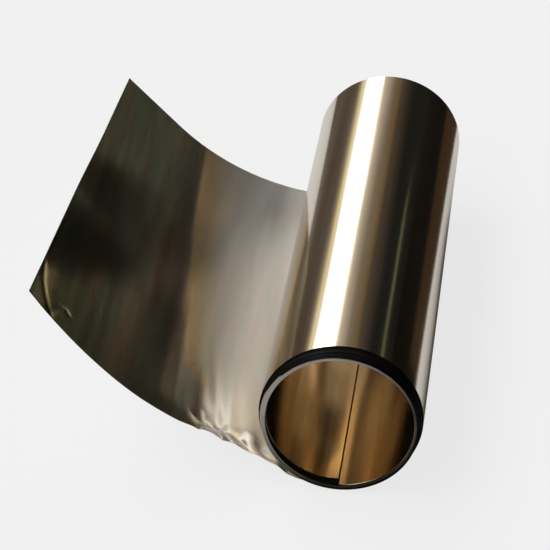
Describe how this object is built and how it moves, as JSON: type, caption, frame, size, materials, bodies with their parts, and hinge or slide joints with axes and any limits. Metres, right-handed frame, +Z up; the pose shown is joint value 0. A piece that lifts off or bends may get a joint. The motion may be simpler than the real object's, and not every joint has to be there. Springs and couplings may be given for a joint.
{
  "type": "roll of aluminium foil",
  "caption": "Short roll of thin metal foil strip, wound with an open round bore, its free end drawn out from under the roll and curled up.",
  "frame": {"origin": "on the bore's axis, at the middle of the bore wall's length", "axes": "+Y along the roll, from the end whose inner turns stand out toward the end whose inner turns sit in; +Z up as the roll lies; the free end of the strip runs toward -X"},
  "size_m": [0.2007, 0.3066, 0.11],
  "materials": {
    "foil": "bright rolled foil with fine lines along the rolling direction, warm reflections"
  },
  "bodies": {
    "root": {"foil_roll": "foil"}
  },
  "joints": []
}
